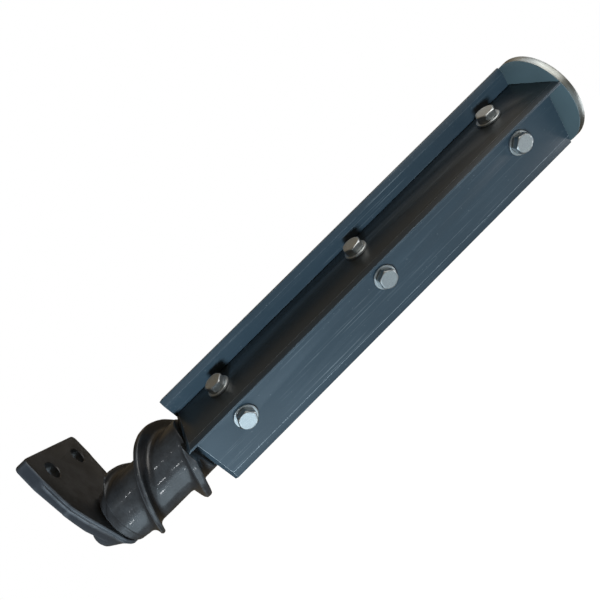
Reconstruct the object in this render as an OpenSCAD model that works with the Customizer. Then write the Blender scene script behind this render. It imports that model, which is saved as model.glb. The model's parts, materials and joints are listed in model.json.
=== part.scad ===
// Driven roll of four bolted blades round a square core, with a spiral nose carried in a
// bracket bearing.  The roll turns about an axis along X, below the origin.  The origin is
// midway between the bracket's two mounting holes, on its flat inner face.  Z is up the
// bracket and Y runs across it.  Millimetres.

/* [Bracket] */
// Thickness of the bracket plate
plate_t = 12; // [9:0.5:16]
// Width across the upper part of the plate
plate_w = 106.4; // [98:0.2:130]
// Height of the plate's top edge above the roll axis
plate_top = 94.8; // [88:0.2:120]
// Height at which the plate starts to narrow
plate_shoulder = 69; // [55:1:80]
// Radius of the plate's lower end round the roll axis, at its face
plate_end_r = 26.5; // [25.5:0.5:30]
// Diameter of the two mounting holes
mount_hole_d = 17; // [13:0.5:20]
// Distance between the two mounting holes
mount_pitch = 57; // [45:1:66]
// Height of the mounting holes above the roll axis
mount_height = 73.5; // [65:0.5:80]
// How far the bearing hub stands out from the plate
hub_len = 15.5; // [14:0.5:20]
// Radius of the bearing hub at its closed end
hub_end_r = 13; // [12:0.5:16]

/* [Bearing] */
// Journal diameter
journal_d = 20; // [18:1:21]
// Radial running clearance of the journal
running_gap = 0.04; // [0.02:0.01:0.08]
// Wall of the bearing bush
bush_wall = 3; // [2:0.5:3]
// Outside diameter of the lip seal
seal_d = 35; // [32:1:38]
// Width of the lip seal
seal_w = 5; // [4:0.5:7]
// Outside diameter of the thrust washer
thrust_d = 44; // [38:1:50]
// Thickness of the thrust washer
thrust_t = 2.7; // [2:0.1:4]

/* [Nose] */
// Gap between the bracket and the nose
nose_gap = 3; // [2:0.5:5]
// Length of the spiral part of the nose
nose_len = 97.4; // [80:0.2:120]
// Radius of the nose between its flights
nose_core_r = 30; // [29:0.2:32]
// Advance of one flight in one full turn
flight_lead = 110; // [90:1:140]
// Width of a flight's crest along the axis
flight_crest = 6; // [4:0.5:10]
// Flight radius just behind the nose's front end
flight_r_front = 39; // [34:0.2:40]
// Flight radius at the rear end of the nose
flight_r_rear = 48; // [42:0.2:52]
// Root radius in front of a flight
root_front = 6; // [4:0.5:10]
// Root radius behind a flight
root_rear = 5.5; // [3:0.5:8]
// Angle round the axis at which a flight's rear crest edge starts
flight_angle = 62; // [0:0.1:180]

/* [Roll] */
// Angle of the blades round the axis, as the roll rests
roll_angle = 29.3; // [0:0.1:90]
// Width of the square core tube
core_w = 41.3; // [38:0.1:50]
// Wall of the core tube
core_wall = 6.5; // [5:0.5:8]
// Length of the blades
blade_len = 467; // [300:1:600]
// Thickness of a blade
blade_t = 5; // [4:0.5:8]
// Distance from the axis to a blade's edge, along the blade
blade_reach = 46; // [40:0.5:55]
// Diameter of the end disc
disc_d = 101.6; // [95:0.2:120]
// Thickness of the end disc
disc_t = 6.8; // [5:0.2:10]

/* [Fasteners] */
// Thread diameter of the blade screws
screw_d = 12; // [10:1:14]
// Length of the blade screws under the head
screw_len = 16; // [14:1:18]
// Distance between neighbouring blade screws
screw_pitch = 181.5; // [100:0.5:220]
// Distance from the blade's middle to the middle screw
screw_shift = 0.5; // [-5:0.5:5]
// Distance from the axis to the screw line, towards the blade's edge
screw_offset = 2; // [0:0.5:6]
// Outside diameter of the flat washers
washer_d = 24; // [20:1:30]
// Thickness of the flat washers
washer_t = 2.5; // [1.5:0.1:3]

/* [Drive end] */
// Width across the flats of the drive socket
socket_af = 19; // [16:0.5:22]
// Depth of the drive socket
socket_depth = 32; // [20:1:40]
// Diameter of the pilot recess at the socket's mouth
pilot_d = 24; // [23:0.5:26]
// Depth of the pilot recess
pilot_depth = 4; // [2:0.5:6]

/* [Hidden] */
$fn = 64;
// diametral clearance of a close fit, of a square slip fit, and overrun of a cutter
fit = 0.05;
slip = 0.2;
cut = 1;
plate_corner = 6;
plate_waist_w = 46.8;
plate_waist_z = 36.5;
plate_side_r = plate_end_r - 4;
boss_t = 3.2;
boss_side_r = 18;
boss_top = 30;
hub_front = 4;
hub_waist = 9.5;
hub_waist_r = 20.8;
hub_tip_r = 6;
hub_tip_len = 5.5;
hub_floor = 11.5;
core_half = core_w / 2;
cavity_w = core_w - 2 * core_wall;
plug_w = cavity_w - slip;
plug_bury = 2;
nose_start = nose_gap;
nose_end = nose_start + nose_len;
blade_gap = 1.6;
blade_start = nose_end + blade_gap;
blade_end = blade_start + blade_len;
disc_end = blade_end + disc_t;
tube_proud = 4;
tube_end = disc_end + tube_proud;
bush_r = journal_d / 2 + bush_wall;
bush_end = -plate_t - hub_len + hub_floor;
journal_r = journal_d / 2;
thrust_slack = 1;
journal_end_gap = 0.5;
journal_front = bush_end + journal_end_gap;
journal_seat = 57;
journal_back = nose_start + journal_seat;
journal_thread = 30;
journal_bevel = 1;
web_t = 10;
web_end = journal_back + web_t;
pocket_d = 24.4;
pocket_slack = 1;
plug_len = 44;
nose_tip_r = 28.8;
fade_start = 8;
fade_end = 15.5;
tube_corner_d = core_w * 1.36;
journal_screw_len = 38;
blade_root_gap = 1.8;
edge_outer_w = 8.8;
edge_outer_depth = 0.6;
edge_inner_w = 6.2;
edge_inner_depth = 2.4;
lead_in_len = 4.2;
lead_in_depth = 2.4;
head_af = 18;
head_h = 7.5;
head_bevel = 1.3;
head_land = 0.4;
head_wide_r = head_af / 2 + 2;
screw_hole_d = screw_d + 1;
dowel_d = 8;
dowel_inset = 0.2;
nose_dowel_x = nose_end + 24.6;
socket_len = 51.8;
socket_front = tube_end - socket_len;
socket_dowel_d = 6;
socket_dowel_x = socket_front + 7;
weld_size = 3.5;
weld_round_d = 64;

blade_c_angle = roll_angle - 90;
blade_b_angle = roll_angle;
blade_a_angle = roll_angle + 90;
blade_d_angle = roll_angle + 180;

screw_mid = (blade_start + blade_end) / 2 + screw_shift;
screw_places = [for (i = [-1 : 1]) screw_mid + i * screw_pitch];

steel_blue = [0.33, 0.40, 0.45];
cast_dark = [0.20, 0.20, 0.21];
zinc = [0.72, 0.74, 0.75];
bare_steel = [0.55, 0.56, 0.57];
bronze = [0.70, 0.52, 0.28];
rubber = [0.08, 0.08, 0.08];

// Lowers its children, drawn about X, onto the roll axis.
module on_axis() {
    translate([0, 0, -mount_height])
        children();
}

// Turns its children about the roll axis.  At 0 their Z points up.
module turned_to(angle) {
    on_axis()
        rotate([angle, 0, 0])
            children();
}

// A solid of revolution about X from a profile of [x, radius] points.
module revolved(profile) {
    rotate([0, 90, 0])
        rotate_extrude($fn = 96)
            polygon([for (p = profile) [p[1], p[0]]]);
}

// A round bar along X from x1 to x2.
module bar(d, x1, x2, sides = 64) {
    translate([x1, 0, 0])
        rotate([0, 90, 0])
            cylinder(d = d, h = x2 - x1, $fn = sides);
}

// A ring along X.
module ring(d_out, d_in, x1, x2) {
    difference() {
        bar(d_out, x1, x2);
        bar(d_in, x1 - cut, x2 + cut);
    }
}

// A hole for a dowel right through the square core, along Z at x.
module cross_hole(x, d) {
    translate([x, 0, -core_half - cut])
        cylinder(d = d + 2 * fit, h = core_w + 2 * cut);
}

// A dowel along Z at x, just short of the core's faces.
module cross_dowel(x, d) {
    translate([x, 0, -core_half + dowel_inset])
        cylinder(d = d, h = core_w - 2 * dowel_inset);
}

// A prism along X from x1 to x2, drawn as an outline in Y and Z.
module along_x(x1, x2) {
    translate([x1, 0, 0])
        rotate([90, 0, 90])
            linear_extrude(height = x2 - x1)
                children();
}

// ---- Bracket ----

// Points of an arc in Y and Z, from one angle to another.
function arc(centre, r, from, to, steps) = [
    for (i = [0 : steps])
        let (angle = from + (to - from) * i / steps)
        centre + r * [cos(angle), sin(angle)]
];

// Half of a V with a round lower end, from its lowest point up to the waist.
function v_half(end_r) =
    let (tangent = atan2(plate_waist_z, plate_waist_w)
        - acos(end_r / norm([plate_waist_w, plate_waist_z])))
    concat(arc([0, 0], end_r, -90, tangent, 14), [[plate_waist_w, plate_waist_z]]);

// A whole outline from its half on the +Y side, which starts on the middle line.
module mirrored_outline(half) {
    last = len(half) - 1;
    polygon(concat(half, [for (i = [last : -1 : 1]) [-half[i][0], half[i][1]]]));
}

// The plate's outline: square shoulders above, straight sides running in to a round end.
module plate_outline() {
    mirrored_outline(concat(
        v_half(plate_side_r),
        [[plate_w / 2, plate_shoulder]],
        arc([plate_w / 2 - plate_corner, plate_top - plate_corner], plate_corner, 0, 90, 8)
    ));
}

// The thicker lower part behind the plate.
module boss_outline() {
    intersection() {
        mirrored_outline(v_half(boss_side_r));
        translate([-plate_w / 2, -plate_end_r])
            square([plate_w, plate_end_r + boss_top]);
    }
}

// The plate and its closed bearing hub are one casting.
module bracket_plate() {
    hub_end = -plate_t - hub_len;
    color(cast_dark) on_axis()
        difference() {
            union() {
                along_x(-plate_t, 0)
                    plate_outline();
                along_x(-plate_t - boss_t, -plate_t + cut)
                    boss_outline();
                revolved([
                    [hub_end, 0], [hub_end, hub_tip_r], [hub_end + hub_tip_len, hub_end_r],
                    [-hub_waist, hub_waist_r], [-hub_front, plate_end_r], [0, plate_end_r], [0, 0]
                ]);
            }
            bar(2 * bush_r, bush_end, cut);
            bar(seal_d, -seal_w, cut);
            for (side = [-1, 1])
                translate([0, side * mount_pitch / 2, mount_height])
                    bar(mount_hole_d, -plate_t - cut, cut);
        }
}

module hub_bush() {
    color(bronze) on_axis()
        ring(2 * (bush_r - fit), journal_d + 2 * running_gap, bush_end, -seal_w);
}

module lip_seal() {
    color(rubber) on_axis()
        ring(seal_d - 2 * fit, journal_d + 2 * running_gap, -seal_w, 0);
}

module thrust_washer() {
    color(bare_steel) on_axis()
        ring(thrust_d, journal_d + thrust_slack, 0, thrust_t);
}

// ---- Spiral nose ----

// Points of the nose's cross-section are given as [u, r]: u is the distance behind a flight's
// rear crest edge, measured along the axis, and r the radius.  The lead turns u into an angle.
flight_tall = flight_r_rear + 4;
root_steps = 6;
core_steps = 10;
function section_point(u, r, start) =
    let (angle = start + u * 360 / flight_lead)
    [r * cos(angle), r * sin(angle)];
front_root = [for (i = [0 : root_steps])
    let (turn = 90 * i / root_steps)
    [-flight_crest - root_front * (1 - sin(turn)), nose_core_r + root_front * (1 - cos(turn))]];
rear_root = [for (i = [0 : root_steps])
    let (turn = 90 - 90 * i / root_steps)
    [root_rear * (1 - sin(turn)), nose_core_r + root_rear * (1 - cos(turn))]];
core_from = root_rear;
core_to = flight_lead / 2 - flight_crest - root_front;
core_arc = [for (i = [1 : core_steps - 1])
    [core_from + (core_to - core_from) * i / core_steps, nose_core_r]];
flight_profile = concat(
    front_root, [[-flight_crest, flight_tall], [0, flight_tall]], rear_root, core_arc
);

module nose_section() {
    polygon([
        for (start = [0, 180])
            for (p = flight_profile)
                section_point(p[0], p[1], flight_angle + 90 + start)
    ]);
}

// The two flights wind left-handed round the core, and the envelope trims their crests.
module nose_spiral() {
    intersection() {
        translate([nose_start, 0, 0])
            rotate([90, 0, 90])
                linear_extrude(height = nose_len, twist = 360 * nose_len / flight_lead,
                               slices = 44, convexity = 6)
                    nose_section();
        revolved([
            [nose_start - cut, 0], [nose_start - cut, nose_tip_r - cut], [nose_start, nose_tip_r],
            [nose_start + fade_start, nose_core_r], [nose_start + fade_end, flight_r_front],
            [nose_end, flight_r_rear],
            [nose_end + cut, flight_r_rear], [nose_end + cut, 0]
        ]);
    }
}

module nose_casting() {
    color(cast_dark) on_axis()
        difference() {
            union() {
                nose_spiral();
                rotate([roll_angle, 0, 0])
                    along_x(nose_end - plug_bury, nose_end + plug_len)
                        square(plug_w, center = true);
            }
            bar(journal_d + 2 * fit, nose_start - cut, journal_back);
            bar(screw_hole_d, journal_back - cut, web_end + cut);
            bar(pocket_d, web_end, nose_end + plug_len + cut);
            rotate([roll_angle, 0, 0])
                cross_hole(nose_dowel_x, dowel_d);
        }
}

module journal() {
    color(bare_steel) on_axis()
        difference() {
            revolved([
                [journal_front, 0], [journal_front, journal_r - journal_bevel],
                [journal_front + journal_bevel, journal_r], [journal_back - fit, journal_r],
                [journal_back - fit, 0]
            ]);
            bar(screw_d, journal_back - journal_thread, journal_back + cut);
        }
}

module journal_washer() {
    color(zinc) on_axis()
        ring(pocket_d - pocket_slack, screw_hole_d, web_end, web_end + washer_t);
}

module journal_screw() {
    head_x = web_end + washer_t;
    color(zinc) on_axis()
        union() {
            bar(screw_d - 2 * fit, head_x - journal_screw_len, head_x);
            translate([head_x, 0, 0])
                rotate([0, 90, 0])
                    hex_head();
        }
}

module nose_dowel() {
    color(bare_steel) turned_to(roll_angle)
        cross_dowel(nose_dowel_x, dowel_d);
}

// ---- Core, blades and their screws ----

module tube_outline() {
    difference() {
        intersection() {
            square(core_w, center = true);
            circle(d = tube_corner_d);
        }
        square(cavity_w, center = true);
    }
}

module core_tube() {
    color(steel_blue) turned_to(roll_angle)
        difference() {
            along_x(nose_end + fit, tube_end)
                tube_outline();
            cross_hole(nose_dowel_x, dowel_d);
            cross_hole(socket_dowel_x, socket_dowel_d);
            for (quarter = [0 : 3])
                rotate([90 * quarter, 0, 0])
                    for (x = screw_places)
                        translate([x, -screw_offset, cavity_w / 2 - cut])
                            cylinder(d = screw_d, h = core_wall + 2 * cut);
        }
}

// A blade lying on the tube's top face, with its edge towards -Y.
module blade() {
    root_y = core_half - blade_root_gap;
    inner_z = core_half;
    outer_z = core_half + blade_t;
    difference() {
        along_x(blade_start, blade_end)
            polygon([
                [root_y, inner_z], [root_y, outer_z],
                [-blade_reach + edge_outer_w, outer_z],
                [-blade_reach, outer_z - edge_outer_depth],
                [-blade_reach, inner_z + edge_inner_depth],
                [-blade_reach + edge_inner_w, inner_z]
            ]);
        // lead-in bevel at the nose end
        translate([0, root_y + cut, 0])
            rotate([90, 0, 0])
                linear_extrude(height = root_y + blade_reach + 2 * cut)
                    polygon([
                        [blade_start - cut, outer_z + cut],
                        [blade_start + lead_in_len, outer_z + cut],
                        [blade_start + lead_in_len, outer_z],
                        [blade_start, outer_z - lead_in_depth],
                        [blade_start - cut, outer_z - lead_in_depth]
                    ]);
        for (x = screw_places)
            translate([x, -screw_offset, inner_z - cut])
                cylinder(d = screw_hole_d, h = blade_t + 2 * cut);
    }
}

module washers() {
    for (x = screw_places)
        translate([x, -screw_offset, core_half + blade_t])
            difference() {
                cylinder(d = washer_d, h = washer_t);
                translate([0, 0, -cut])
                    cylinder(d = screw_hole_d, h = washer_t + 2 * cut);
            }
}

// A hexagon head standing on Z = 0, with its top corners turned off.
module hex_head() {
    intersection() {
        cylinder(d = head_af / cos(30), h = head_h, $fn = 6);
        rotate_extrude()
            polygon([
                [0, 0], [head_wide_r, 0], [head_wide_r, head_h - head_bevel],
                [head_af / 2 - head_land, head_h], [0, head_h]
            ]);
    }
}

// Three screws of one blade.  turns gives each head's angle as it was tightened.
module screws(turns) {
    head_z = core_half + blade_t + washer_t;
    for (i = [0 : 2])
        translate([screw_places[i], -screw_offset, head_z])
            rotate([0, 0, turns[i]])
                union() {
                    hex_head();
                    translate([0, 0, -screw_len])
                        cylinder(d = screw_d - 2 * fit, h = screw_len);
                }
}

module blade_a() {
    color(steel_blue) turned_to(blade_a_angle) blade();
}

module blade_b() {
    color(steel_blue) turned_to(blade_b_angle) blade();
}

module blade_c() {
    color(steel_blue) turned_to(blade_c_angle) blade();
}

module blade_d() {
    color(steel_blue) turned_to(blade_d_angle) blade();
}

module washers_a() {
    color(zinc) turned_to(blade_a_angle) washers();
}

module washers_b() {
    color(zinc) turned_to(blade_b_angle) washers();
}

module washers_c() {
    color(zinc) turned_to(blade_c_angle) washers();
}

module washers_d() {
    color(zinc) turned_to(blade_d_angle) washers();
}

module screws_a() {
    color(zinc) turned_to(blade_a_angle) screws([34, 56, 18]);
}

module screws_b() {
    color(zinc) turned_to(blade_b_angle) screws([31, 40, 24]);
}

module screws_c() {
    color(zinc) turned_to(blade_c_angle) screws([12, 47, 5]);
}

module screws_d() {
    color(zinc) turned_to(blade_d_angle) screws([51, 22, 38]);
}

// ---- Drive end ----

module end_disc() {
    color(steel_blue) turned_to(roll_angle)
        difference() {
            bar(disc_d, blade_end, disc_end, 96);
            along_x(blade_end - cut, disc_end + cut)
                square(core_w + slip, center = true);
        }
}

// Fillet weld between the tube and the disc's outer face.
module disc_weld() {
    color(bare_steel) turned_to(roll_angle)
        intersection() {
            for (quarter = [0 : 3])
                rotate([90 * quarter, 0, 0])
                    translate([disc_end, core_half + weld_size, core_half])
                        rotate([90, 0, 0])
                            linear_extrude(height = core_w + 2 * weld_size)
                                polygon([[0, 0], [weld_size, 0], [0, weld_size]]);
            bar(weld_round_d, disc_end - cut, tube_end);
        }
}

module drive_socket() {
    color(bare_steel) turned_to(roll_angle)
        difference() {
            along_x(socket_front, tube_end)
                square(plug_w, center = true);
            bar(pilot_d, tube_end - pilot_depth, tube_end + cut);
            bar(socket_af / cos(30), tube_end - socket_depth, tube_end + cut, 6);
            cross_hole(socket_dowel_x, socket_dowel_d);
        }
}

module socket_dowel() {
    color(bare_steel) turned_to(roll_angle)
        cross_dowel(socket_dowel_x, socket_dowel_d);
}

bracket_plate();
hub_bush();
lip_seal();
thrust_washer();
nose_casting();
journal();
journal_washer();
journal_screw();
nose_dowel();
core_tube();
blade_a();
blade_b();
blade_c();
blade_d();
washers_a();
washers_b();
washers_c();
washers_d();
screws_a();
screws_b();
screws_c();
screws_d();
end_disc();
disc_weld();
drive_socket();
socket_dowel();
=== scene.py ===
import json
import math

import bmesh
import bpy
from mathutils import Matrix, Vector, noise


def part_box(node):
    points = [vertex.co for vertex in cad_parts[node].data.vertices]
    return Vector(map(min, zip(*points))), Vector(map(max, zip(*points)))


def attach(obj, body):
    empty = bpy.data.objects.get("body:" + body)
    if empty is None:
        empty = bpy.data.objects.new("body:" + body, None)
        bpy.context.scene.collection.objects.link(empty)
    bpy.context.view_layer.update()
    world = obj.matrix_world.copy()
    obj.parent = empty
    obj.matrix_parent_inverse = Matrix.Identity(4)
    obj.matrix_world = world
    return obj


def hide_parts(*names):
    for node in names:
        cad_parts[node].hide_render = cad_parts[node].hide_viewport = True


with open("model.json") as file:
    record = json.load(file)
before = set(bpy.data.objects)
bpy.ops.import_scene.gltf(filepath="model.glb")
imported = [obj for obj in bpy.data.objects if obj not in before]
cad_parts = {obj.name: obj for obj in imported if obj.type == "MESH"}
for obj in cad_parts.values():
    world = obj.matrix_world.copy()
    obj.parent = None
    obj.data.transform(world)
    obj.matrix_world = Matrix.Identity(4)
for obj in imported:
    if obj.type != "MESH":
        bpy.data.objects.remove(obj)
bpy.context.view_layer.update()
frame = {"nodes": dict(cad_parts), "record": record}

# ---- Places and sizes, in millimetres ----------------------------------------------------------

MM = 0.001
AXIS_Z = frame["record"]["behaviour"]["joints"][0]["pos_m"][2] / MM


def span(node, axis):
    """The lowest and highest value of a CAD node along one axis, in millimetres."""
    low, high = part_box(node)
    return low[axis] / MM, high[axis] / MM


NOSE_START = span("nose_casting", 0)[0]
BLADE_START, BLADE_END = span("blade_a", 0)
DISC_START, DISC_END = span("end_disc", 0)
DISC_R = (span("end_disc", 1)[1] - span("end_disc", 1)[0]) / 2
CLEARANCE = 0.1
NOSE_END = span("core_tube", 0)[0] - CLEARANCE
PLUG_END = span("nose_casting", 0)[1]

ROLL_ANGLE = math.radians(29.3)
CORE_W = 41.3
CORE_HALF = CORE_W / 2
TUBE_BORE = 28.3
PLUG_W = TUBE_BORE - 2 * CLEARANCE

BLADE_T = 5.0
BLADE_REACH = 46.0
BLADE_ROOT_GAP = 1.8
OUTER_CREASE = (8.8, 0.6)
INNER_CREASE = (6.2, 2.4)
LEAD_IN = (4.2, 2.4)
DISC_GAP = 1.0

SCREW_D = 12.0
SCREW_HOLE_D = 13.0
SCREW_LEN = 16.0
SCREW_OFFSET = 2.0
SCREW_PITCH = 181.5
SCREW_SHIFT = 0.5
THREAD_PITCH = 1.75
THREAD_DEPTH = 1.07
HEAD_AF = 18.0
HEAD_H = 7.5
WASHER_D = 24.0
WASHER_T = 2.5

NOSE_CORE_R = 30.0
NOSE_TIP_R = 28.8
FLIGHT_LEAD = 110.0
CREST_W = 3.6
CREST_RISE = 0.045
FLIGHT_FRONT_R = 39.0
FLIGHT_REAR_R = 47.6
FADE_START = 8.0
FADE_END = 15.5
FLIGHT_ANGLE = math.radians(62.0 + 90)
ROOT_FRONT = 6.0
ROOT_REAR = 5.5
JOURNAL_BORE_R = 10.05

PLATE_T = 12.0
PLATE_HALF = 53.2
PLATE_TOP = 94.8
PLATE_SHOULDER = 69.0
PLATE_WAIST = (46.8, 36.5)
PLATE_CORNER = 6.0
PLATE_END_R = 26.5
# The back leans out between these two heights, by this much at the lower one.
BACK_SLOPE = (38.0, 13.0, 4.6)
SIDE_DRAFT = 2.9
DRAFT_START = 44.0
HOLE_R = 8.5
HOLE_Y = 28.5
HUB_END = -27.5
# Depths at which the hub's taper starts and eases, its slope before and after, and its drop.
HUB_TAPER_START = -4.0
HUB_TAPER_EASES = -9.5
HUB_STEEP = 1.04
HUB_SHALLOW = 0.62
HUB_DROP = 5.7
WELD_R = 2.2
BUSH_R = 13.0
BUSH_END = -16.0
SEAL_R = 17.5
SEAL_W = 5.0

# Each blade's angle round the axis, and the angle at which each of its screws was left.
BLADES = {
    "a": (math.radians(90), (34, 56, 18)),
    "b": (0.0, (31, 40, 24)),
    "c": (math.radians(-90), (12, 47, 5)),
    "d": (math.radians(180), (51, 22, 38)),
}
SCREW_MID = (BLADE_START + BLADE_END) / 2 + SCREW_SHIFT
SCREW_PLACES = [SCREW_MID + step * SCREW_PITCH for step in (-1, 0, 1)]


# ---- Mesh helpers ------------------------------------------------------------------------------

def on_roll(angle):
    """The matrix that takes a piece drawn about X, in millimetres, to its place on the roll."""
    return (
        Matrix.Scale(MM, 4)
        @ Matrix.Translation((0, 0, AXIS_Z))
        @ Matrix.Rotation(angle, 4, "X")
    )


def new_object(name, verts, faces, matrix):
    mesh = bpy.data.meshes.new(name)
    mesh.from_pydata([matrix @ Vector(v) for v in verts], [], faces)
    mesh.update()
    obj = bpy.data.objects.new(name, mesh)
    bpy.context.scene.collection.objects.link(obj)
    fix_normals(obj)
    return obj


def fix_normals(obj):
    work = bmesh.new()
    work.from_mesh(obj.data)
    bmesh.ops.remove_doubles(work, verts=work.verts, dist=0.002 * MM)
    bmesh.ops.recalc_face_normals(work, faces=work.faces)
    work.to_mesh(obj.data)
    work.free()


def bake(obj):
    """Replaces an object's mesh by what its modifiers make of it."""
    depsgraph = bpy.context.evaluated_depsgraph_get()
    made = bpy.data.meshes.new_from_object(obj.evaluated_get(depsgraph))
    obj.modifiers.clear()
    obj.data = made


def shade(obj, angle=35):
    obj.data.polygons.foreach_set("use_smooth", [True] * len(obj.data.polygons))
    obj.data.set_sharp_from_angle(angle=math.radians(angle))


def bevel(obj, width, segments=3, angle=20):
    soft = obj.modifiers.new("soft edges", "BEVEL")
    soft.width = width * MM
    soft.segments = segments
    soft.limit_method = "ANGLE"
    soft.angle_limit = math.radians(angle)
    soft.use_clamp_overlap = True
    soft.harden_normals = False
    bake(obj)


def cut_away(obj, cutters):
    """Takes each cutter out of an object and deletes the cutter."""
    for cutter in cutters:
        hole = obj.modifiers.new("hole", "BOOLEAN")
        hole.operation = "DIFFERENCE"
        hole.solver = "EXACT"
        hole.object = cutter
        bake(obj)
        bpy.data.objects.remove(cutter)


def wrapped(rows, cols, close_rows=False):
    """Faces of a grid of rows whose columns close on themselves."""
    faces = []
    for i in range(rows if close_rows else rows - 1):
        for j in range(cols):
            k = (j + 1) % cols
            n = (i + 1) % rows
            faces.append((i * cols + j, i * cols + k, n * cols + k, n * cols + j))
    return faces


def lathe(name, profile, matrix, sides=96, closed=False):
    """A solid turned about X. The profile is a list of (x, radius), a ring if it is closed."""
    verts = [
        (x, r * math.cos(2 * math.pi * j / sides), r * math.sin(2 * math.pi * j / sides))
        for x, r in profile
        for j in range(sides)
    ]
    faces = wrapped(len(profile), sides, closed)
    if not closed:
        faces.append(tuple(range(sides)))
        faces.append(tuple(range((len(profile) - 1) * sides, len(profile) * sides)))
    return new_object(name, verts, faces, matrix)


def prism(name, outline, x1, x2, matrix):
    """A solid along X from an outline of (y, z)."""
    count = len(outline)
    verts = [(x, y, z) for x in (x1, x2) for y, z in outline]
    faces = wrapped(2, count) + [tuple(range(count)), tuple(range(count, 2 * count))]
    return new_object(name, verts, faces, matrix)


def square_outline(width, corner, steps=5):
    """A square with round corners."""
    half = width / 2 - corner
    points = []
    for quarter in range(4):
        middle = math.radians(45 + 90 * quarter)
        centre_y = half * math.copysign(1, math.cos(middle))
        centre_z = half * math.copysign(1, math.sin(middle))
        for i in range(steps + 1):
            a = math.radians(90 * quarter + 90 * i / steps)
            points.append((centre_y + corner * math.cos(a), centre_z + corner * math.sin(a)))
    return points


def join(name, objects):
    """One object out of several that share a body, each a closed solid."""
    work = bmesh.new()
    for obj in objects:
        work.from_mesh(obj.data)
        bpy.data.objects.remove(obj)
    mesh = bpy.data.meshes.new(name)
    work.to_mesh(mesh)
    work.free()
    obj = bpy.data.objects.new(name, mesh)
    bpy.context.scene.collection.objects.link(obj)
    return obj


def mark_edges(obj, reach=1.0):
    """Stores in "edge" how sharply the surface turns outwards at each point, for scuffed paint,
    which also serves as painted highlight lines along edges.
    """
    mesh = obj.data
    turn = [0.0] * len(mesh.vertices)
    count = [0] * len(mesh.vertices)
    for edge in mesh.edges:
        for v, w in (edge.vertices, reversed(edge.vertices)):
            step = mesh.vertices[w].co - mesh.vertices[v].co
            if step.length > 0:
                turn[v] -= step.normalized().dot(mesh.vertices[v].normal)
                count[v] += 1
    layer = mesh.attributes.new("edge", "FLOAT", "POINT")
    for v in mesh.vertices:
        share = turn[v.index] / max(count[v.index], 1)
        layer.data[v.index].value = max(0.0, min(1.0, reach * share))


def clear_flats(obj, width):
    """Takes "edge" off the corners of every face wider than this many millimetres."""
    mesh = obj.data
    layer = mesh.attributes["edge"]
    for face in mesh.polygons:
        places = [mesh.vertices[i].co for i in face.vertices]
        around = sum((a - b).length for a, b in zip(places, places[1:] + places[:1]))
        if 2 * face.area / around > width * MM:
            for i in face.vertices:
                layer.data[i].value = 0.0


def finish_piece(obj, body, slot, material, *nodes):
    obj.data.materials.clear()
    obj.data.materials.append(material)
    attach(obj, body)
    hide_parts(*nodes)
    return obj


# ---- Materials ---------------------------------------------------------------------------------

class Nodes:
    """A short way to write a material's node tree."""

    def __init__(self, name):
        self.material = bpy.data.materials.new(name)
        self.material.use_nodes = True
        self.tree = self.material.node_tree
        self.shader = self.tree.nodes["Principled BSDF"]
        self.place = self.add("ShaderNodeTexCoord").outputs["Object"]

    def add(self, kind, **settings):
        node = self.tree.nodes.new(kind)
        for key, value in settings.items():
            setattr(node, key, value)
        return node

    def link(self, source, target):
        self.tree.links.new(source, target)

    def scaled(self, factors):
        """The object's own coordinates in metres, times a factor along each axis."""
        node = self.add("ShaderNodeVectorMath", operation="MULTIPLY")
        self.link(self.place, node.inputs[0])
        node.inputs[1].default_value = factors
        return node.outputs[0]

    def noise(self, scale, detail=3.0, rough=0.5, vector=None):
        node = self.add("ShaderNodeTexNoise")
        self.link(vector or self.place, node.inputs["Vector"])
        node.inputs["Scale"].default_value = scale
        node.inputs["Detail"].default_value = detail
        node.inputs["Roughness"].default_value = rough
        return node.outputs["Fac"]

    def cells(self, scale, feature="F1"):
        node = self.add("ShaderNodeTexVoronoi", feature=feature)
        self.link(self.place, node.inputs["Vector"])
        node.inputs["Scale"].default_value = scale
        return node

    def ramp(self, source, stops):
        node = self.add("ShaderNodeValToRGB")
        elements = node.color_ramp.elements
        while len(elements) < len(stops):
            elements.new(0.5)
        for element, (position, colour) in zip(elements, stops):
            element.position = position
            element.color = (*colour, 1) if isinstance(colour, tuple) else (colour,) * 3 + (1,)
        self.link(source, node.inputs[0])
        return node.outputs["Color"]

    def math(self, operation, first, second, clamp=False):
        node = self.add("ShaderNodeMath", operation=operation, use_clamp=clamp)
        for socket, value in zip(node.inputs, (first, second)):
            if isinstance(value, (int, float)):
                socket.default_value = value
            else:
                self.link(value, socket)
        return node.outputs[0]

    def mix(self, factor, first, second):
        node = self.add("ShaderNodeMix", data_type="RGBA")
        for socket, value in zip((node.inputs[0], node.inputs[6], node.inputs[7]),
                                 (factor, first, second)):
            if isinstance(value, (int, float)):
                socket.default_value = value
            elif isinstance(value, tuple):
                socket.default_value = (*value, 1)
            else:
                self.link(value, socket)
        return node.outputs[2]

    def bump(self, *layers):
        """Bumps on top of each other, each (height, strength, distance in millimetres)."""
        below = None
        for height, strength, distance in layers:
            node = self.add("ShaderNodeBump")
            node.inputs["Strength"].default_value = strength
            node.inputs["Distance"].default_value = distance * MM
            self.link(height, node.inputs["Height"])
            if below:
                self.link(below, node.inputs["Normal"])
            below = node.outputs["Normal"]
        self.link(below, self.shader.inputs["Normal"])

    def colour(self, source):
        self.link(source, self.shader.inputs["Base Color"])

    def roughness(self, source):
        self.link(source, self.shader.inputs["Roughness"])

    def set(self, **values):
        for name, value in values.items():
            self.shader.inputs[name.replace("_", " ")].default_value = value


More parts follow.
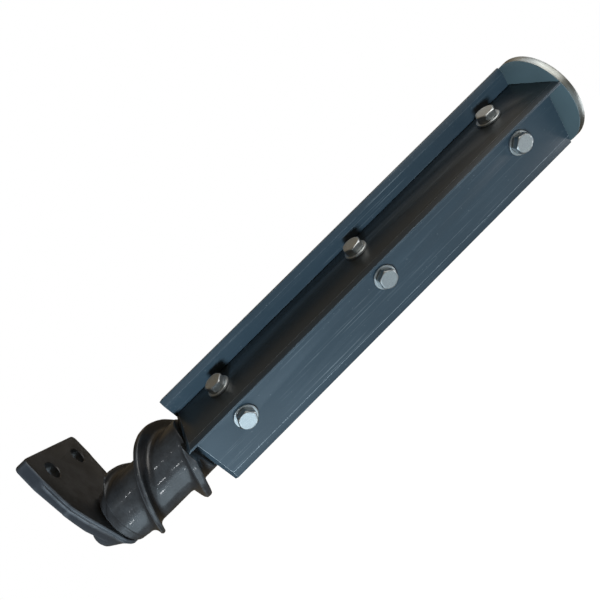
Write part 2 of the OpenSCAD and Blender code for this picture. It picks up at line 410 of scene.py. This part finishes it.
def paint(name, base, rough, peel, wear_and_highlight, worn_and_highlight_colour=(0.66, 0.70, 0.73)):
    """Sprayed paint over steel: a slightly uneven film, fine dust, orange peel, scuffed pale edges
    that also serve as painted highlight lines.
    """
    n = Nodes(name)
    broad = n.noise(9, 3)
    fine = n.noise(900, 2)
    shade_low = tuple(c * 0.90 for c in base)
    shade_high = tuple(c * 1.10 for c in base)
    body = n.ramp(broad, [(0.3, shade_low), (0.7, shade_high)])
    dust = n.ramp(n.noise(2600, 2), [(0.66, 0.0), (0.76, 1.0)])
    dusty = n.mix(n.math("MULTIPLY", dust, 0.12), body, (0.30, 0.33, 0.35))
    # The edge mark gives scuffed paint and also painted highlight lines along edges and creases.
    edge = n.add("ShaderNodeAttribute", attribute_name="edge").outputs["Fac"]
    patchy = n.ramp(n.noise(70, 5, 0.65), [(0.35, 0.25), (0.62, 1.0)])
    rubbed_and_highlight = n.math("MULTIPLY", n.math("MULTIPLY", edge, wear_and_highlight), patchy, clamp=True)
    n.colour(n.mix(rubbed_and_highlight, dusty, worn_and_highlight_colour))
    gloss = n.ramp(n.noise(30, 3), [(0.3, rough * 0.94), (0.7, rough * 1.06)])
    n.roughness(n.mix(rubbed_and_highlight, gloss, (0.36, 0.36, 0.36)))
    n.link(n.math("MULTIPLY", rubbed_and_highlight, 0.5), n.shader.inputs["Metallic"])
    n.bump((n.noise(peel, 2), 0.10, 0.04), (fine, 0.05, 0.01))
    return n


def scratches(n, along, colour, share):
    """Long fine pale scratches and a few small chips."""
    streak = n.noise(1.0, 3, 0.6, n.scaled(along))
    where = n.ramp(n.noise(14, 4, 0.6), [(0.40, 0.0), (0.62, 1.0)])
    lines = n.math("MULTIPLY", n.ramp(streak, [(0.60, 0.0), (0.68, 1.0)]), where)
    chips = n.ramp(n.cells(150).outputs["Distance"], [(0.045, 1.0), (0.075, 0.0)])
    both = n.math("MAXIMUM", n.math("MULTIPLY", lines, share), n.math("MULTIPLY", chips, 0.5))
    before = n.shader.inputs["Base Color"].links[0].from_socket
    n.colour(n.mix(both, before, colour))


def blade_paint():
    n = paint("blade_paint", (0.021, 0.033, 0.043), 0.36, 420, 1.0)
    scratches(n, (7, 900, 900), (0.16, 0.18, 0.19), 0.5)
    n.set(Coat_Weight=0.10, Coat_Roughness=0.25)
    return n.material


def core_paint():
    return paint("core_paint", (0.022, 0.034, 0.043), 0.40, 380, 0.4).material


def disc_paint():
    return paint("disc_paint", (0.062, 0.090, 0.100), 0.40, 380, 1.0).material


def cast_paint(name, base, rough, waves, coat):
    """Thick gloss paint over a sand casting: soft hollows, runs and a few pinholes."""
    # The pale scuffed edges also paint the thin highlight lines along the nose's flight crests.
    n = paint(name, base, rough, 260, 0.3, (0.55, 0.57, 0.60))
    pits = n.ramp(n.cells(420).outputs["Distance"], [(0.05, 0.0), (0.16, 1.0)])
    n.bump((n.noise(130, 4, 0.55), waves, 0.40), (n.noise(420, 3), waves / 2, 0.12),
           (pits, 0.15, 0.10))
    n.set(Coat_Weight=coat, Coat_Roughness=0.08)
    return n.material


def zinc():
    """Zinc plate: a bright speckle under a faint blue-grey bloom."""
    n = Nodes("zinc")
    speckle = n.noise(1500, 4, 0.7)
    bloom = n.noise(160, 4)
    bright = n.ramp(speckle, [(0.35, (0.46, 0.49, 0.50)), (0.6, (0.70, 0.74, 0.75))])
    n.colour(n.mix(n.ramp(bloom, [(0.4, 0.0), (0.75, 0.5)]), bright, (0.52, 0.55, 0.58)))
    n.roughness(n.ramp(speckle, [(0.3, 0.30), (0.7, 0.46)]))
    n.bump((speckle, 0.25, 0.04), (bloom, 0.3, 0.06))
    n.set(Metallic=1.0)
    return n.material


def bare_steel(name, base, along):
    """Machined or rubbed steel with fine tool marks. along gives their direction."""
    n = Nodes(name)
    marks = n.noise(1.0, 4, 0.6, n.scaled(along))
    patches = n.noise(60, 4)
    low = tuple(c * 0.72 for c in base)
    n.colour(n.mix(n.ramp(patches, [(0.35, 0.0), (0.7, 1.0)]), low, base))
    n.roughness(n.ramp(marks, [(0.3, 0.28), (0.7, 0.45)]))
    n.bump((marks, 0.25, 0.03))
    n.set(Metallic=1.0)
    return n.material


def bronze():
    n = Nodes("bronze")
    marks = n.noise(1.0, 3, 0.5, n.scaled((3000, 60, 60)))
    stain = n.noise(70, 4)
    n.colour(n.ramp(stain, [(0.3, (0.36, 0.22, 0.09)), (0.7, (0.60, 0.42, 0.19))]))
    n.roughness(n.ramp(marks, [(0.3, 0.26), (0.7, 0.42)]))
    n.bump((marks, 0.2, 0.03))
    n.set(Metallic=1.0)
    return n.material


def seal_rubber():
    n = Nodes("seal_rubber")
    grain = n.noise(900, 3)
    n.colour(n.ramp(grain, [(0.3, (0.012, 0.012, 0.012)), (0.7, (0.03, 0.03, 0.03))]))
    n.roughness(n.ramp(grain, [(0.3, 0.5), (0.7, 0.7)]))
    n.bump((grain, 0.2, 0.03))
    return n.material


BLADE_PAINT = blade_paint()
CORE_PAINT = core_paint()
DISC_PAINT = disc_paint()
NOSE_PAINT = cast_paint("nose_paint", (0.011, 0.011, 0.012), 0.38, 0.9, 0.6)
BRACKET_PAINT = cast_paint("bracket_paint", (0.017, 0.019, 0.023), 0.42, 0.3, 0.35)
WELD_STEEL = paint("weld_steel", (0.050, 0.062, 0.063), 0.36, 500, 0.5).material
ZINC = zinc()
BARE_STEEL = bare_steel("bare_steel", (0.52, 0.54, 0.55), (2500, 80, 80))
RIM_STEEL = bare_steel("rim_steel", (0.46, 0.49, 0.48), (1800, 120, 120))
BRONZE = bronze()
SEAL_RUBBER = seal_rubber()


# ---- Bracket -----------------------------------------------------------------------------------

def arc(centre, radius, start, end, steps):
    return [
        (centre[0] + radius * math.cos(math.radians(start + (end - start) * i / steps)),
         centre[1] + radius * math.sin(math.radians(start + (end - start) * i / steps)))
        for i in range(steps + 1)
    ]


def hub_radius(x):
    """The radius of the casting's round lower end and hub at a depth x behind the face."""
    if x > HUB_TAPER_START:
        return PLATE_END_R
    if x > HUB_TAPER_EASES:
        return PLATE_END_R + HUB_STEEP * (x - HUB_TAPER_START)
    return PLATE_END_R - HUB_DROP + HUB_SHALLOW * (x - HUB_TAPER_EASES)


def stretch(start, end, pieces):
    """Points on a straight line, without its start."""
    return [(start[0] + (end[0] - start[0]) * i / pieces,
             start[1] + (end[1] - start[1]) * i / pieces) for i in range(1, pieces + 1)]


def plate_outline(end_r):
    """Square shoulders above, sides that run in to a waist and then to a round lower end."""
    waist_angle = math.degrees(math.atan2(PLATE_WAIST[1], PLATE_WAIST[0]))
    tangent = waist_angle - math.degrees(math.acos(end_r / math.hypot(*PLATE_WAIST)))
    half = arc((0, 0), end_r, -90, tangent, 18)
    half += stretch(half[-1], PLATE_WAIST, 12)
    half += stretch(PLATE_WAIST, (PLATE_HALF, PLATE_SHOULDER), 14)
    corner = arc((PLATE_HALF - PLATE_CORNER, PLATE_TOP - PLATE_CORNER), PLATE_CORNER, 0, 90, 8)
    half += stretch(half[-1], corner[0], 6) + corner[1:]
    return half + [(-y, z) for y, z in reversed(half[1:])]


def inwards(outline, j):
    """The direction square to an outline at its point j, towards its inside."""
    (y1, z1), (y2, z2) = outline[j - 1], outline[(j + 1) % len(outline)]
    length = math.hypot(y2 - y1, z2 - z1)
    return (z1 - z2) / length, (y2 - y1) / length


def ramp_up(value, start, end):
    """0 up to start, 1 from end on and a straight line between."""
    return min(1.0, max(0.0, (value - start) / (end - start)))


def plate_rows():
    """The cast plate as outlines from its face to its back, (x, y, z) each.

    Each step is (depth, inset of the sides below the shoulder, inset above it). The face ends
    in a big round arris, then the mould's parting line runs round as a fine groove. Below the
    shoulder the sides lean in towards the back, and the back leans out."""
    steps = [(0.0, 1.6, 0.9), (0.2, 0.95, 0.4), (0.6, 0.45, 0.12), (1.2, 0.12, 0.0),
             (2.0, 0.0, 0.0), (2.5, 0.7, 0.0), (3.3, 0.7, 0.0), (3.8, 0.0, 0.0),
             (6.5, 0.0, 0.0), (8.5, 0.0, 0.0), (10.0, 0.0, 0.0), (11.2, 0.1, 0.1),
             (11.8, 0.4, 0.4), (12.0, 1.0, 1.0)]
    groove_end = 3.8
    top, bottom, extra = BACK_SLOPE
    face = plate_outline(PLATE_END_R)
    rows = []
    for depth, low_inset, high_inset in steps:
        row = []
        behind = ramp_up(depth, groove_end, PLATE_T)
        for j, (_, face_z) in enumerate(face):
            x = -depth - extra * behind * (1 - ramp_up(face_z, bottom, top))
            y, z = plate_outline(hub_radius(x))[j]
            below = 1 - ramp_up(face_z, PLATE_SHOULDER - 5, PLATE_SHOULDER)
            side = ramp_up(face_z, -8, 22)
            lean = 1 - ramp_up(face_z, DRAFT_START, PLATE_SHOULDER)
            inset = high_inset + (low_inset * (0.35 + 0.65 * side) - high_inset) * below
            inset -= SIDE_DRAFT * lean * side * (1 - behind)
            in_y, in_z = inwards(face, j)
            row.append((x, y + in_y * inset, z + in_z * inset))
        rows.append(row)
    return rows


def drilled_hole(name, radius, x1, x2, matrix):
    """A drill's shape from x1 to x2, with a small countersink at both faces."""
    sink = 0.7
    over = 2.0
    return lathe(name, [
        (x1 - over, radius + sink + over), (x1 + sink, radius),
        (x2 - sink, radius), (x2 + over, radius + sink + over),
    ], matrix, 72)


def bracket():
    """The cast plate with its closed bearing hub."""
    matrix = on_roll(0)
    rows = plate_rows()
    count = len(rows[0])
    faces = wrapped(len(rows), count)
    faces += [tuple(range(count)), tuple(range((len(rows) - 1) * count, len(rows) * count))]
    obj = new_object("plate", [p for row in rows for p in row], faces, matrix)
    hub = lathe("hub", [
        (HUB_END, 3.0), (HUB_END + 0.5, 5.8), (HUB_END + 1.7, 8.8), (HUB_END + 3.5, 11.5),
        (HUB_END + 5.5, hub_radius(HUB_END + 5.5)),
        (HUB_TAPER_EASES, hub_radius(HUB_TAPER_EASES)),
        (-4.5, hub_radius(-4.5) - 1),
    ], matrix)
    whole = obj.modifiers.new("whole", "BOOLEAN")
    whole.operation = "UNION"
    whole.solver = "EXACT"
    whole.object = hub
    bake(obj)
    bpy.data.objects.remove(hub)
    obj.name = "bracket_plate_cast"
    cutters = [
        lathe("bush_bore", [(BUSH_END, BUSH_R), (2, BUSH_R)], matrix),
        lathe("seal_bore", [(-SEAL_W, SEAL_R), (2, SEAL_R)], matrix),
    ]
    for side in (-1, 1):
        across = Matrix.Translation((0, side * HOLE_Y * MM, 0)) @ Matrix.Scale(MM, 4)
        cutters.append(drilled_hole("bolt_hole", HOLE_R, -PLATE_T, 0, across))
    cut_away(obj, cutters)
    mark_edges(obj, 1.8)
    shade(obj, 40)
    finish_piece(obj, "bracket", "bracket_paint", BRACKET_PAINT, "bracket_plate")


# ---- Spiral nose -------------------------------------------------------------------------------

def envelope(x):
    """The outermost radius that the nose reaches at x, measured from the nose's front end."""
    rise = (FLIGHT_REAR_R - FLIGHT_FRONT_R) / (NOSE_END - NOSE_START - FADE_END)
    if x < FADE_START:
        return NOSE_TIP_R + (NOSE_CORE_R - NOSE_TIP_R) * x / FADE_START
    if x < FADE_END:
        share = (x - FADE_START) / (FADE_END - FADE_START)
        return NOSE_CORE_R + (FLIGHT_FRONT_R - NOSE_CORE_R) * share
    return FLIGHT_FRONT_R + rise * (x - FADE_END)


def flight_section(crest_r, core_r, crest_w):
    """Points (u, r) over half a lead. u runs along the axis from a flight's rear crest edge."""
    tall = crest_r - core_r
    soft = min(1.5, 0.35 * tall + 0.05)
    crisp = 1.2 * soft
    flank_steps = 10
    points = []
    for i in range(flank_steps + 1):
        h = tall * (i / flank_steps) ** 1.2
        inside = min(h, ROOT_FRONT)
        u = -crest_w - ROOT_FRONT + math.sqrt(ROOT_FRONT**2 - (ROOT_FRONT - inside)**2)
        over = max(0.0, h - (tall - soft)) / soft
        u += soft * (1 - math.sqrt(max(0.0, 1 - over**2)))
        points.append((u, core_r + h))
    crest_steps = 5
    first = points[-1][0]
    for i in range(1, crest_steps):
        points.append((first + (-crisp - first) * i / crest_steps, crest_r))
    for i in range(flank_steps, -1, -1):
        h = tall * (i / flank_steps) ** (1.2 if i < flank_steps - 2 else 0.6)
        inside = min(h, ROOT_REAR)
        u = 0.06 * (tall - h)
        u += ROOT_REAR - math.sqrt(ROOT_REAR**2 - (ROOT_REAR - inside)**2)
        over = max(0.0, h - (tall - crisp)) / crisp
        u -= crisp * (1 - math.sqrt(max(0.0, 1 - over**2)))
        points.append((u, core_r + h))
    core_steps = 12
    last = points[-1][0]
    restart = FLIGHT_LEAD / 2 - crest_w - ROOT_FRONT
    for i in range(1, core_steps):
        points.append((last + (restart - last) * i / core_steps, core_r))
    return points


def nose():
    """Two left-handed flights round a core, cut off square behind, with a plug for the tube."""
    matrix = on_roll(0)
    steps = 190
    places = [NOSE_START + (NOSE_END - NOSE_START) * i / steps for i in range(steps + 1)]
    rim = 0.7
    rings = []
    for x in places:
        crest = envelope(x - NOSE_START)
        core = min(NOSE_CORE_R, crest - 0.3)
        crest_w = CREST_W + CREST_RISE * x
        trim = max(0.0, rim - (NOSE_END - x), 1.2 * (rim - (x - NOSE_START)))
        ring = []
        for start in (0, math.pi):
            for u, r in flight_section(crest, core, crest_w):
                turn = 2 * math.pi * (u - (x - NOSE_START)) / FLIGHT_LEAD
                a = FLIGHT_ANGLE + start + turn
                ring.append((x, (r - trim) * math.cos(a), (r - trim) * math.sin(a)))
        rings.append(ring)
    cols = len(rings[0])
    verts = [p for ring in rings for p in ring]
    faces = wrapped(len(rings), cols)
    faces.append(tuple(range(cols)))
    faces.append(tuple(range((len(rings) - 1) * cols, len(rings) * cols)))
    spiral = new_object("spiral", verts, faces, matrix)
    for v in spiral.data.vertices:
        p = v.co / MM
        away = Vector((0, p.y, p.z - AXIS_Z)).normalized()
        swell = noise.noise(p / 14) * 0.30 + noise.noise(p / 5 + Vector((9, 4, 2))) * 0.10
        if NOSE_START + 1 < p.x < NOSE_END - 1:
            v.co += away * swell * MM
    plug = prism("plug", square_outline(PLUG_W, 1.5), NOSE_END - 3, PLUG_END, on_roll(ROLL_ANGLE))
    bore_end = 60
    bore = lathe("journal_bore", [(NOSE_START - 2, JOURNAL_BORE_R), (bore_end, JOURNAL_BORE_R)],
                 matrix, 64)
    cut_away(spiral, [bore])
    obj = join("nose_casting_spiral", [spiral, plug])
    mark_edges(obj, 2.0)
    shade(obj, 50)
    finish_piece(obj, "roll", "nose_paint", NOSE_PAINT, "nose_casting")


# ---- Blades ------------------------------------------------------------------------------------

def blade(letter, angle):
    """A flat bar with a bevelled working edge, a lead-in bevel and three drilled holes."""
    root_y = CORE_HALF - BLADE_ROOT_GAP
    inner_z = CORE_HALF
    outer_z = CORE_HALF + BLADE_T
    outline = [
        (root_y, inner_z), (root_y, outer_z),
        (-BLADE_REACH + OUTER_CREASE[0], outer_z),
        (-BLADE_REACH, outer_z - OUTER_CREASE[1]),
        (-BLADE_REACH, inner_z + INNER_CREASE[1]),
        (-BLADE_REACH + INNER_CREASE[0], inner_z),
    ]
    matrix = on_roll(ROLL_ANGLE + angle)
    obj = prism(f"blade_{letter}_bar", outline, BLADE_START, BLADE_END - DISC_GAP, matrix)
    over = 1.0
    wedge = [
        (BLADE_START - over, outer_z + over), (BLADE_START + LEAD_IN[0], outer_z + over),
        (BLADE_START + LEAD_IN[0], outer_z), (BLADE_START, outer_z - LEAD_IN[1]),
        (BLADE_START - over, outer_z - LEAD_IN[1]),
    ]
    ends = (-BLADE_REACH - over, root_y + over)
    verts = [(x, y, z) for y in ends for x, z in wedge]
    count = len(wedge)
    faces = wrapped(2, count) + [tuple(range(count)), tuple(range(count, 2 * count))]
    cutters = [new_object("lead_in", verts, faces, matrix)]
    for x in SCREW_PLACES:
        upright = matrix @ Matrix.Translation((x, -SCREW_OFFSET, 0)) @ Matrix.Rotation(
            math.radians(-90), 4, "Y")
        cutters.append(lathe("hole", [
            (inner_z - over, SCREW_HOLE_D / 2), (outer_z + over, SCREW_HOLE_D / 2),
        ], upright, 48))
    cut_away(obj, cutters)
    bevel(obj, 0.45, 4, 3)
    # Strong edge marks: scuffed paint that also paints thin highlight lines along the blade's
    # arrises.
    mark_edges(obj, 2.2)
    back = matrix.inverted()
    crease_y = -BLADE_REACH + OUTER_CREASE[0]
    near = 0.6
    skin = outer_z - 0.4
    layer = obj.data.attributes["edge"]
    # The outer crease and the lead-in crease get the full mark: a painted highlight line along each.
    for v in obj.data.vertices:
        p = back @ v.co
        on_side = abs(p.y - crease_y) < near and p.z > skin
        on_lead_in = abs(p.x - BLADE_START - LEAD_IN[0]) < near and p.z > skin
        if on_side or on_lead_in:
            layer.data[v.index].value = 1.0
    clear_flats(obj, 1.0)
    shade(obj, 30)
    finish_piece(obj, "roll", "blade_paint", BLADE_PAINT, f"blade_{letter}")


# ---- Fasteners ---------------------------------------------------------------------------------

def hex_radius(angle, across_flats):
    """Distance from a hexagon's centre to its edge, with its corners slightly rounded."""
    within = (angle + math.pi / 6) % (math.pi / 3) - math.pi / 6
    sharp = across_flats / 2 / math.cos(within)
    corner_r = across_flats / 2 / math.cos(math.pi / 6) - 0.35
    return min(sharp, corner_r)


def hex_head_rings():
    """Functions of an angle, from the washer face up to the top, that give (radius, height)."""
    flat_r = HEAD_AF / 2 - 0.5
    slope = math.tan(math.radians(30))

    def top(radius):
        return HEAD_H - max(0.0, radius - flat_r) * slope

    def at(share, drop):
        def point(angle):
            radius = hex_radius(angle, HEAD_AF) - drop
            radius = flat_r + (radius - flat_r) * share
            return radius, top(radius)
        return point

    rings = [lambda a: (HEAD_AF / 2 - 0.6, 0.0), lambda a: (HEAD_AF / 2 - 0.6, 0.5)]
    rings.append(lambda a: (hex_radius(a, HEAD_AF) - 0.3, 0.5))
    rings.append(lambda a: (hex_radius(a, HEAD_AF), 0.8))
    rings.append(lambda a: (hex_radius(a, HEAD_AF), top(hex_radius(a, HEAD_AF)) - 0.25))
    rings.append(lambda a: (hex_radius(a, HEAD_AF) - 0.12, top(hex_radius(a, HEAD_AF)) - 0.05))
    rings.append(at(0.6, 0.3))
    rings.append(at(0.25, 0.3))
    rings.append(lambda a: (flat_r - 0.05, HEAD_H))
    rings.append(lambda a: (flat_r * 0.8, HEAD_H - 0.05))
    rings.append(lambda a: (flat_r * 0.55, HEAD_H - 0.12))
    return rings


def screw(turn, matrix):
    """A hexagon screw standing on Z = 0 with its threaded shank below."""
    sides = 72
    rings = hex_head_rings()
    verts = []
    for ring in rings:
        for j in range(sides):
            a = 2 * math.pi * j / sides
            r, z = ring(a)
            verts.append((r * math.cos(a + turn), r * math.sin(a + turn), z))
    faces = wrapped(len(rings), sides)
    faces.append(tuple(range(sides)))
    faces.append(tuple(range((len(rings) - 1) * sides, len(rings) * sides)))
    head = new_object("head", verts, faces, matrix)
    tuck = 0.6
    tip_len = 1.2
    runout = 2
    turns = 24
    per_turn = 5
    count = int(SCREW_LEN / THREAD_PITCH * per_turn)
    verts = []
    for i in range(count + 1):
        z = tuck - (SCREW_LEN + tuck) * i / count
        point = min(1.0, (SCREW_LEN + z) / tip_len)
        for j in range(turns):
            phase = (-z / THREAD_PITCH + j / turns) % 1.0
            ridge = 1 - abs(2 * phase - 1)
            r = SCREW_D / 2 - THREAD_DEPTH * (1 - ridge) * min(1.0, max(0.0, -z / runout))
            r -= 1 - point
            a = 2 * math.pi * j / turns
            verts.append((r * math.cos(a), r * math.sin(a), z))
    faces = wrapped(count + 1, turns)
    faces.append(tuple(range(turns)))
    faces.append(tuple(range(count * turns, (count + 1) * turns)))
    return [head, new_object("shank", verts, faces, matrix)]


def washer(matrix):
    """A punched washer: rolled upper edge, square lower edge."""
    inner = SCREW_HOLE_D / 2
    outer = WASHER_D / 2
    round_r = 0.7
    chamfer = 0.4
    profile = [(0.0, inner), (0.0, outer - 0.25), (0.3, outer), (WASHER_T - round_r, outer)]
    for i in range(1, 5):
        a = math.radians(90 * i / 4)
        profile.append((WASHER_T - round_r + round_r * math.sin(a),
                        outer - round_r + round_r * math.cos(a)))
    profile += [(WASHER_T, inner + chamfer), (WASHER_T - chamfer, inner)]
    return lathe("washer", profile, matrix, 64, closed=True)


def fasteners(letter, angle, turns):
    matrix = on_roll(ROLL_ANGLE + angle)
    face_z = CORE_HALF + BLADE_T
    washers = []
    screws = []
    for x, turn in zip(SCREW_PLACES, turns):
        place = matrix @ Matrix.Translation((x, -SCREW_OFFSET, face_z))
        washers.append(washer(place @ Matrix.Rotation(math.radians(-90), 4, "Y")))
        screws += screw(math.radians(turn), place @ Matrix.Translation((0, 0, WASHER_T)))
    ring = join(f"washers_{letter}_set", washers)
    shade(ring, 30)
    finish_piece(ring, "roll", "zinc", ZINC, f"washers_{letter}")
    bolt = join(f"screws_{letter}_set", screws)
    shade(bolt, 25)
    finish_piece(bolt, "roll", "zinc", ZINC, f"screws_{letter}")


# ---- Drive end ---------------------------------------------------------------------------------

def end_disc():
    """The turned disc: painted faces, a rubbed rim with soft corners, a square hole."""
    matrix = on_roll(ROLL_ANGLE)
    soft = 0.5
    obj = lathe("end_disc_plate", [
        (DISC_START, DISC_R - soft), (DISC_START + 0.15, DISC_R - 0.15),
        (DISC_START + soft, DISC_R), (DISC_END - soft, DISC_R),
        (DISC_END - 0.15, DISC_R - 0.15), (DISC_END, DISC_R - soft),
    ], matrix, 144)
    corner = 0.6
    square = square_outline(CORE_W + 2 * CLEARANCE, corner)
    hole = prism("hole", square, DISC_START - 1, DISC_END + 1, matrix)
    cut_away(obj, [hole])
    mark_edges(obj, 1.5)
    clear_flats(obj, 1.0)
    shade(obj, 30)
    finish_piece(obj, "roll", "disc_paint", DISC_PAINT, "end_disc")
    obj.data.materials.append(RIM_STEEL)
    rim_start = (DISC_R - 0.3) * MM
    for face in obj.data.polygons:
        middle = face.center
        outwards = Vector((0, middle.y, middle.z - AXIS_Z * MM))
        if outwards.length > rim_start:
            face.material_index = 1


def weld_bead():
    """A fillet weld round the tube, with the ripples of a steady run."""
    matrix = on_roll(ROLL_ANGLE)
    path = square_outline(CORE_W + WELD_R, WELD_R + 1, 10)
    dense = []
    for (y1, z1), (y2, z2) in zip(path, path[1:] + path[:1]):
        pieces = max(1, round(math.hypot(y2 - y1, z2 - z1) / 0.5))
        dense += [(y1 + (y2 - y1) * i / pieces, z1 + (z2 - z1) * i / pieces)
                  for i in range(pieces)]
    ring = 10
    verts = []
    for i, (y, z) in enumerate(dense):
        ripple = 1 + 0.07 * math.sin(2 * math.pi * i / 4) + 0.06 * noise.noise(Vector((i / 9, 0, 0)))
        out = Vector((0, y, z)).normalized()
        for j in range(ring):
            a = 2 * math.pi * j / ring
            lift = WELD_R * ripple * math.cos(a)
            side = WELD_R * ripple * math.sin(a)
            verts.append((DISC_END + max(-0.2, lift + 0.3), y + out.y * side, z + out.z * side))
    obj = new_object("disc_weld_bead", verts, wrapped(len(dense), ring, True), matrix)
    mark_edges(obj, 1.0)
    shade(obj, 50)
    finish_piece(obj, "roll", "weld_steel", WELD_STEEL, "disc_weld")


def dress_cad_nodes():
    """Materials for the CAD pieces that keep their own shape."""
    looks = {
        "core_tube": CORE_PAINT, "drive_socket": BARE_STEEL, "socket_dowel": BARE_STEEL,
        "nose_dowel": BARE_STEEL, "journal": BARE_STEEL, "journal_washer": ZINC,
        "journal_screw": ZINC, "hub_bush": BRONZE, "thrust_washer": BARE_STEEL,
        "lip_seal": SEAL_RUBBER,
    }
    for node, material in looks.items():
        obj = frame["nodes"][node]
        if not obj.material_slots:
            obj.data.materials.append(material)
        for holder in obj.material_slots:
            holder.material = material


bracket()
nose()
for key, (blade_angle, screw_turns) in BLADES.items():
    blade(key, blade_angle)
    fasteners(key, blade_angle, screw_turns)
end_disc()
weld_bead()
dress_cad_nodes()


# ---- Camera, light and floor -------------------------------------------------------------------

CAMERA_PLACE = (239.4, -531.05, -62.4)
CAMERA_FORWARD = (0.0497, 0.9984, 0.0287)
CAMERA_RIGHT = (0.7089, -0.0150, -0.7052)
CAMERA_LENS = 32.93


def camera():
    """The camera stands in front of the roll and is turned so that the roll lies slanted."""
    data = bpy.data.cameras.new("camera")
    data.sensor_width = 36
    data.lens = CAMERA_LENS
    data.clip_start = 0.01
    data.clip_end = 100
    obj = bpy.data.objects.new("camera", data)
    forward = Vector(CAMERA_FORWARD).normalized()
    right = Vector(CAMERA_RIGHT)
    right = (right - forward * right.dot(forward)).normalized()
    up = right.cross(forward)
    turn = Matrix((right, up, -forward)).transposed().to_4x4()
    obj.matrix_world = Matrix.Translation(Vector(CAMERA_PLACE) * MM) @ turn
    bpy.context.scene.collection.objects.link(obj)
    bpy.context.scene.camera = obj


def softbox(name, place, target, size, power, colour, diffuse=True, glossy=True):
    """A rectangular light at place that faces target. It may leave out soft or mirrored light."""
    data = bpy.data.lights.new(name, "AREA")
    data.shape = "RECTANGLE"
    data.size, data.size_y = size
    data.energy = power
    data.color = colour
    obj = bpy.data.objects.new(name, data)
    obj.location = place
    obj.rotation_euler = (Vector(target) - Vector(place)).to_track_quat("-Z", "Y").to_euler()
    obj.visible_camera = False
    obj.visible_diffuse = diffuse
    obj.visible_glossy = glossy
    bpy.context.scene.collection.objects.link(obj)


def studio():
    """A pale floor and room. What the paint mirrors above and behind is a dim warm room."""
    world = bpy.data.worlds.new("studio")
    world.use_nodes = True
    tree = world.node_tree
    background = tree.nodes["Background"]
    light_path = tree.nodes.new("ShaderNodeLightPath")
    pick = tree.nodes.new("ShaderNodeMix")
    pick.data_type = "RGBA"
    pick.inputs[6].default_value = (0.085, 0.071, 0.050, 1)
    pick.inputs[7].default_value = (1.0, 1.0, 1.0, 1)
    tree.links.new(light_path.outputs["Is Camera Ray"], pick.inputs[0])
    tree.links.new(pick.outputs[2], background.inputs["Color"])
    bpy.context.scene.world = world

    side = 6.0
    floor_z = AXIS_Z * MM - 0.62
    mesh = bpy.data.meshes.new("floor")
    corners = [(-side, -side, floor_z), (side, -side, floor_z),
               (side, side, floor_z), (-side, side, floor_z)]
    mesh.from_pydata(corners, [], [(0, 1, 2, 3)])
    floor = bpy.data.objects.new("floor", mesh)
    n = Nodes("floor")
    n.colour(n.ramp(n.noise(3, 3), [(0.3, (0.90, 0.90, 0.90)), (0.7, (0.93, 0.93, 0.93))]))
    n.set(Roughness=0.9, Emission_Color=(1.0, 1.0, 1.0, 1.0), Emission_Strength=1.0)
    mesh.materials.append(n.material)
    floor.visible_glossy = False
    floor.visible_diffuse = False
    floor.visible_shadow = False
    bpy.context.scene.collection.objects.link(floor)

    axis_z = AXIS_Z * MM
    middle = (0.26, 0.0, axis_z)
    nose_place = (0.05, 0.0, axis_z)
    cool = (0.70, 0.88, 1.0)
    white = (0.95, 0.97, 1.0)
    softbox("under", (0.15, -0.75, -1.15), middle, (2.8, 1.6), 6.2, cool)
    softbox("left", (-0.40, -0.70, -1.15), nose_place, (1.0, 1.2), 4.3, cool, diffuse=False)
    softbox("front", (-0.30, -1.25, axis_z - 0.52), middle, (0.3, 0.2), 42,
            (0.74, 0.89, 1.0), glossy=False)
    softbox("room", (0.50, 0.60, axis_z + 1.0), middle, (1.9, 1.2), 0.9, (1.0, 0.74, 0.45))
    softbox("window", (0.95, -0.70, 0.35), (0.45, 0.0, axis_z), (0.8, 0.8), 4.0,
            (1.0, 0.96, 0.90), diffuse=False)
    softbox("back", (0.30, 1.30, axis_z + 0.50), middle, (1.6, 1.0), 16, white, glossy=False)
    softbox("rim", (1.15, -0.30, 0.80), (0.57, 0.0, axis_z), (0.9, 0.9), 2.6, white,
            diffuse=False)
    softbox("far_rim", (1.35, 0.50, 0.85), (0.57, 0.0, axis_z), (0.5, 0.9), 0.2,
            (1.0, 0.94, 0.86), diffuse=False)
    softbox("streak", (1.74, -0.05, -1.00), nose_place, (0.8, 0.6), 5, white, diffuse=False)
    for place in ((-0.35, -0.85, 0.62), (-0.37, -1.20, -0.27), (-0.42, -0.90, -0.80)):
        softbox("glint", place, nose_place, (0.05, 0.05), 0.22, white, diffuse=False)


camera()
studio()
bpy.context.scene.view_settings.view_transform = "Standard"
